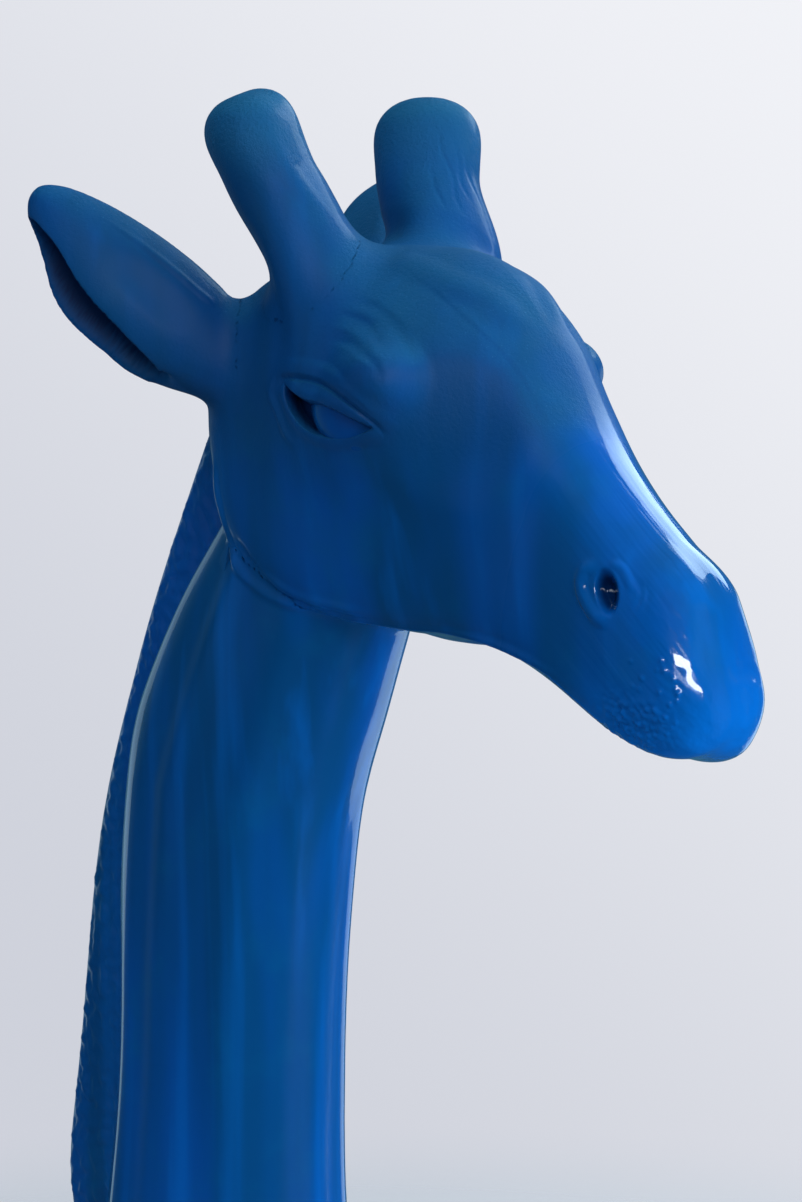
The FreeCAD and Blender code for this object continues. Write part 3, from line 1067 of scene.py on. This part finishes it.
def add_light(name, place, aim, size, power, red, mirrored, lighting):
    light = bpy.data.lights.new(name, "AREA")
    light.shape = "RECTANGLE"
    light.size, light.size_y = size
    light.energy = power
    light.color = (red, 0.6 + 0.4 * red, 1.0)
    obj = new_object(name, light)
    obj.location = place
    obj.rotation_euler = (place - aim).to_track_quat("Z", "Y").to_euler()
    obj.visible_camera = False
    obj.visible_glossy = mirrored
    obj.visible_diffuse = lighting
    return obj


def add_floor():
    """A pale floor under the plinth that fades into the background all round."""
    bm = bmesh.new()
    bmesh.ops.create_circle(bm, cap_ends=True, segments=96, radius=1.2)
    obj = new_object("floor", mesh_from(bm, "floor", False))
    paint = Paint(bpy.data.materials.new("floor_paper"))
    mottle = paint.noise(1.2, 2.0)
    paper = paint.mix(mottle, rgba((0.74, 0.745, 0.765)), rgba((0.78, 0.785, 0.80)))
    away = paint.node(
        "ShaderNodeVectorMath",
        {"operation": "LENGTH"},
        [paint.object_coordinates()],
        output="Value",
    )
    paint.set(
        Base_Color=paper,
        Roughness=0.9,
        Specular_IOR_Level=0.0,
        Alpha=paint.range(away, 0.3, 1.0, 1.0, 0.0),
    )
    obj.data.materials.append(paint.owner)
    obj.visible_glossy = False


def add_world(right, up, back):
    """A pale background for the eye, and a dim room with a bright far side for the gloss."""
    paint = Paint(bpy.data.worlds.new("studio"))
    sky = paint.tree.nodes["Background"]
    way = paint.node("ShaderNodeTexCoord", output="Generated")

    def facing(direction):
        return paint.node(
            "ShaderNodeVectorMath",
            {"operation": "DOT_PRODUCT"},
            [way, tuple(direction.normalized())],
            output="Value",
        )

    corner = facing((right + up).normalized())
    pale = paint.mix(
        paint.range(corner, -0.16, 0.24), rgba((0.62, 0.64, 0.71)), rgba((0.90, 0.91, 0.95))
    )
    behind = paint.range(facing(-back + up * 0.25), 0.1, 0.95)
    above = paint.range(facing(up), 0.2, 1.0)
    room = paint.mix(behind, rgba((0.012, 0.024, 0.03)), rgba((0.04, 0.13, 0.19)))
    room = paint.mix(above * 0.14, room, rgba((0.4, 0.78, 1.0)))
    seen = paint.node("ShaderNodeLightPath", output="Is Camera Ray")
    paint.feed(sky.inputs["Color"], paint.mix(seen, room, pale))
    sky.inputs["Strength"].default_value = 1.0
    bpy.context.scene.world = paint.owner


# ---- settings ----


def length_property(name, description, default):
    return bpy.props.FloatProperty(
        name=name, description=description, default=default, min=0.0, unit="LENGTH"
    )


def angle_property(name, description, degrees):
    return bpy.props.FloatProperty(
        name=name, description=description, default=math.radians(degrees), subtype="ANGLE"
    )


def colour_property(name, description, default):
    return bpy.props.FloatVectorProperty(
        name=name, description=description, default=default, subtype="COLOR", min=0.0, max=1.0
    )


class GIRAFFE_PG_sizes(bpy.types.PropertyGroup):
    """How finely and how deeply the bust is carved."""

    voxel: length_property("Voxel", "Spacing of the blank's points", 2.2 * MM)
    socket: length_property("Eye Socket", "Depth behind the lids", 13.0 * MM)
    nostril: length_property("Nostril", "Depth of each nostril", 15.0 * MM)
    ear: length_property("Ear Hollow", "Depth of each ear's mouth", 28.0 * MM)
    gouge: length_property("Neck Gouge", "Height of the long planes down the neck", 0.9 * MM)
    mane: length_property("Mane Cuts", "Depth of the cuts across the mane", 1.0 * MM)
    plinth_edge: length_property("Plinth Edge", "Rounding of the plinth's upper edge", 6.0 * MM)


class GIRAFFE_PG_enamel(bpy.types.PropertyGroup):
    """The colours in the blue enamel."""

    deep: colour_property("Deep", "Where the coat is thickest", (0.0010, 0.066, 0.225))
    body: colour_property("Body", "The main blue", (0.0012, 0.086, 0.40))
    teal: colour_property("Teal", "Greener clouds in the coat", (0.002, 0.115, 0.29))
    # Bright also paints the light on the muzzle and the chin.
    bright: colour_property("Bright", "Thin streaks that show lighter", (0.001, 0.138, 0.57))
    dry: colour_property("Dry", "Where the paint has dulled", (0.0015, 0.054, 0.170))
    # This lighter blue is also painted top light on what faces up.
    dust_and_top_light: colour_property("Chalky", "Dusty paint on what faces up", (0.010, 0.128, 0.285))
    # The dark blue painted into the hollows as shade.
    hollow_shade_blue: colour_property("Pooled", "Paint lying in the hollows", (0.0006, 0.014, 0.075))


class GIRAFFE_PG_stage(bpy.types.PropertyGroup):
    """Where the camera stands."""

    azimuth: angle_property("Azimuth", "Turn from the front, positive to the giraffe's left", -45)
    elevation: angle_property("Elevation", "Camera's height angle", 5)
    distance: length_property("Distance", "From the camera to its target", 2.4)
    target: bpy.props.FloatVectorProperty(
        name="Target",
        description="What the camera looks at, beside the neck and under the jaw",
        default=(0.0, -0.091, 0.549),
        subtype="XYZ",
    )
    lens: bpy.props.FloatProperty(
        name="Lens",
        description="Focal length in millimetres on a 36 mm sensor",
        default=119.8,
    )


# ---- operators ----


def blank_clay():
    return Clay(bpy.data.objects[BLANK])


class GIRAFFE_OT_rough_out(bpy.types.Operator):
    """Roughs the bust out of the CAD pieces as one blank, its joints filled"""

    bl_idname = "giraffe.rough_out"
    bl_label = "Rough Out"

    def execute(self, context):
        blank = rough_out(context.scene.giraffe_sizes.voxel)
        trim_foot(blank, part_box("neck_column")[0].z + 0.2 * MM)
        clay = Clay(blank)
        gaps = note_gaps(clay)
        clay.smooth(np.ones(len(clay.at)), 4)
        blend_joints(clay, gaps)
        clay.store()
        return {"FINISHED"}


class GIRAFFE_OT_shape_forms(bpy.types.Operator):
    """Shapes the head's, horns' and ears' large forms and divides the blank for fine work"""

    bl_idname = "giraffe.shape_forms"
    bl_label = "Shape Forms"

    def execute(self, context):
        clay = blank_clay()
        shape_head(clay)
        flare_horns(clay)
        shape_ears(clay)
        clay.store()
        divide_for_detail(clay.obj)
        note_gaps(blank_clay())
        return {"FINISHED"}


class GIRAFFE_OT_carve_eyes(bpy.types.Operator):
    """Carves the eye sockets and lids"""

    bl_idname = "giraffe.carve_eyes"
    bl_label = "Carve Eyes"

    def execute(self, context):
        clay = blank_clay()
        carve_eye(clay, context.scene.giraffe_sizes.socket)
        clay.store()
        return {"FINISHED"}


class GIRAFFE_OT_carve_head(bpy.types.Operator):
    """Carves the brow, the jaw, the nostrils and the lips"""

    bl_idname = "giraffe.carve_head"
    bl_label = "Carve Head"

    def execute(self, context):
        clay = blank_clay()
        carve_brow_and_jaw(clay)
        carve_nostril(clay, context.scene.giraffe_sizes.nostril)
        carve_lips(clay)
        gather_paint(clay)
        clay.store()
        return {"FINISHED"}


class GIRAFFE_OT_carve_ears(bpy.types.Operator):
    """Carves the ears' mouths and rims"""

    bl_idname = "giraffe.carve_ears"
    bl_label = "Carve Ears"

    def execute(self, context):
        clay = blank_clay()
        carve_ears(clay, context.scene.giraffe_sizes.ear)
        clay.store()
        return {"FINISHED"}


class GIRAFFE_OT_carve_horns(bpy.types.Operator):
    """Carves the flats and cracks of the horns"""

    bl_idname = "giraffe.carve_horns"
    bl_label = "Carve Horns"

    def execute(self, context):
        clay = blank_clay()
        carve_horns(clay)
        clay.store()
        return {"FINISHED"}


class GIRAFFE_OT_carve_neck(bpy.types.Operator):
    """Carves the planes of the neck and the cuts of the mane"""

    bl_idname = "giraffe.carve_neck"
    bl_label = "Carve Neck and Mane"

    def execute(self, context):
        sizes = context.scene.giraffe_sizes
        clay = blank_clay()
        gaps = noted_gaps(clay)
        carve_neck(clay, gaps, sizes.gouge)
        carve_mane(clay, gaps, sizes.mane)
        clay.store()
        return {"FINISHED"}


class GIRAFFE_OT_part_pieces(bpy.types.Operator):
    """Parts the blank along its joints and enamels the pieces"""

    bl_idname = "giraffe.part_pieces"
    bl_label = "Part Pieces"

    def execute(self, context):
        clay = blank_clay()
        blank = clay.obj
        gaps = noted_gaps(clay)
        write_layer(blank.data, "gloss", gloss_of(clay, gaps))
        # painted shade: how deep each hollow is, for darkening its colour
        write_layer(blank.data, "pool", step(clay.sunk, 2, 12))
        note_up(blank.data)
        owners = face_owners(clay, gaps, 3)
        for name in ["sunk"] + ["gap_" + name for name in CARVED]:
            blank.data.attributes.remove(blank.data.attributes[name])
        enamel = blue_enamel()
        for index, name in enumerate(CARVED):
            piece = part_piece(blank, name + "_carved", owners == index)
            finish_piece(piece, enamel, "blue_enamel", name)
        bpy.data.objects.remove(blank)
        return {"FINISHED"}


class GIRAFFE_OT_set_eyes(bpy.types.Operator):
    """Sets an eyeball behind each pair of lids"""

    bl_idname = "giraffe.set_eyes"
    bl_label = "Set Eyes"

    def execute(self, context):
        # painted shade: the eyes get a copy of the enamel darkened to 0.8, as under the lids
        enamel = blue_enamel("eye_enamel", 0.8)
        for side, name in ((1, "left"), (-1, "right")):
            bm = bmesh.new()
            centre = Vector(EYE_BALL_AT) * MM
            centre.x *= side
            place = Matrix.Translation(centre) @ Matrix.Rotation(EYE_TILT, 4, "X")
            place = place @ Matrix.Diagonal((27 * MM, -41 * MM, 27 * MM, 1))
            bmesh.ops.create_icosphere(bm, subdivisions=5, radius=1.0, matrix=place)
            bmesh.ops.recalc_face_normals(bm, faces=bm.faces[:])
            mesh = mesh_from(bm, "eyeball_" + name)
            even_coat(mesh, 0.7)
            ball = new_object("eyeball_" + name, mesh)
            finish_piece(ball, enamel, "blue_enamel", "eye_" + name)
        return {"FINISHED"}


class GIRAFFE_OT_shape_plinth(bpy.types.Operator):
    """Shapes and enamels the oval plinth"""

    bl_idname = "giraffe.shape_plinth"
    bl_label = "Shape Plinth"

    def execute(self, context):
        plinth = plinth_board(context.scene.giraffe_sizes.plinth_edge)
        finish_piece(plinth, bpy.data.materials["blue_enamel"], "blue_enamel", "plinth")
        return {"FINISHED"}


class GIRAFFE_OT_finish_hardware(bpy.types.Operator):
    """Gives the pieces inside and under the bust their finishes"""

    bl_idname = "giraffe.finish_hardware"
    bl_label = "Finish Hardware"

    def execute(self, context):
        beech = plain_finish(
            "beech_dowel", (0.5, 0.3, 0.14), (0.62, 0.42, 0.22), 60, 0.55, 0, (1, 1, 0.08)
        )
        zinc = plain_finish("zinc_steel", (0.45, 0.45, 0.43), (0.6, 0.6, 0.57), 90, 0.35, 1.0)
        felt = plain_finish("wool_felt", (0.012, 0.02, 0.018), (0.03, 0.045, 0.04), 700, 0.92)
        finishes = {"beech": beech, "zinc_steel": zinc, "felt": felt}
        enamel = bpy.data.materials["blue_enamel"]
        for part in frame["record"]["subparts"]:
            node = frame["nodes"][part["node"]]
            node.data.materials.clear()
            node.data.materials.append(finishes.get(part["material_slot"], enamel))
        return {"FINISHED"}


class GIRAFFE_OT_set_stage(bpy.types.Operator):
    """Sets the floor, the lights and the camera"""

    bl_idname = "giraffe.set_stage"
    bl_label = "Set Stage"

    def execute(self, context):
        view = context.scene.giraffe_stage
        right, up, back = view_axes()
        target = Vector(view.target)
        camera = new_object("camera", bpy.data.cameras.new("camera"))
        camera.data.lens = view.lens
        camera.data.sensor_width = 36.0
        camera.location = target + back * view.distance
        camera.rotation_euler = back.to_track_quat("Z", "Y").to_euler()
        context.scene.camera = camera
        add_floor()
        add_world(right, up, back)
        head = Vector(piece_centre("head_block"))
        lights = [  # name, place right, up and back, size, power, red, mirrored, lighting
            ("rim_panel", (0.95, 1.18, -1.14), (1.2, 0.9), 14, 0.62, True, True),
            ("muzzle_box", (0.22, 0.24, 1.38), (0.80, 0.14), 9, 0.84, True, False),
            ("crown_panel", (0.2, 2.0, -0.3), (2.0, 1.6), 16, 0.88, False, True),
            ("left_strip", (-1.05, 0.0, -1.50), (0.50, 1.6), 0.9, 0.6, True, False),
            ("right_strip", (1.0, -0.3, -1.50), (0.60, 1.2), 2.2, 0.6, True, False),
            ("front_fill", (0.3, 0.9, 2.0), (2.0, 2.0), 30, 0.88, False, True),
            ("left_fill", (-2.0, 0.3, 0.6), (1.6, 2.0), 10, 0.88, False, True),
            ("right_fill", (2.0, 0.0, 1.0), (1.6, 2.2), 47, 0.88, False, True),
            ("chin_fill", (1.4, -1.3, 0.6), (1.2, 1.0), 9, 0.88, False, True),
        ]
        for name, (r, u, b), *rest in lights:
            add_light(name, head + right * r + up * u + back * b, head, *rest)
        context.scene.view_settings.view_transform = "Standard"
        return {"FINISHED"}


class GIRAFFE_PT_bust(bpy.types.Panel):
    """The bust's settings and steps, in order"""

    bl_label = "Carved Giraffe Bust"
    bl_space_type = "VIEW_3D"
    bl_region_type = "UI"
    bl_category = "Giraffe"

    def draw(self, context):
        scene = context.scene
        for group in (scene.giraffe_sizes, scene.giraffe_enamel, scene.giraffe_stage):
            for name in group.__annotations__:
                self.layout.prop(group, name)
        for operator in OPERATORS:
            self.layout.operator(operator.bl_idname)


GROUPS = {
    "giraffe_sizes": GIRAFFE_PG_sizes,
    "giraffe_enamel": GIRAFFE_PG_enamel,
    "giraffe_stage": GIRAFFE_PG_stage,
}
OPERATORS = (
    GIRAFFE_OT_rough_out,
    GIRAFFE_OT_shape_forms,
    GIRAFFE_OT_carve_eyes,
    GIRAFFE_OT_carve_head,
    GIRAFFE_OT_carve_ears,
    GIRAFFE_OT_carve_horns,
    GIRAFFE_OT_carve_neck,
    GIRAFFE_OT_part_pieces,
    GIRAFFE_OT_set_eyes,
    GIRAFFE_OT_shape_plinth,
    GIRAFFE_OT_finish_hardware,
    GIRAFFE_OT_set_stage,
)
CLASSES = (*GROUPS.values(), *OPERATORS, GIRAFFE_PT_bust)


def register():
    for cls in CLASSES:
        bpy.utils.register_class(cls)
    for name, group in GROUPS.items():
        setattr(bpy.types.Scene, name, bpy.props.PointerProperty(type=group))


def unregister():
    for name in GROUPS:
        delattr(bpy.types.Scene, name)
    for cls in reversed(CLASSES):
        bpy.utils.unregister_class(cls)


def main():
    register()
    bpy.ops.giraffe.rough_out()
    bpy.ops.giraffe.shape_forms()
    bpy.ops.giraffe.carve_eyes()
    bpy.ops.giraffe.carve_head()
    bpy.ops.giraffe.carve_ears()
    bpy.ops.giraffe.carve_horns()
    bpy.ops.giraffe.carve_neck()
    bpy.ops.giraffe.part_pieces()
    bpy.ops.giraffe.set_eyes()
    bpy.ops.giraffe.shape_plinth()
    bpy.ops.giraffe.finish_hardware()
    bpy.ops.giraffe.set_stage()
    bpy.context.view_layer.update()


if __name__ == "__main__":
    main()
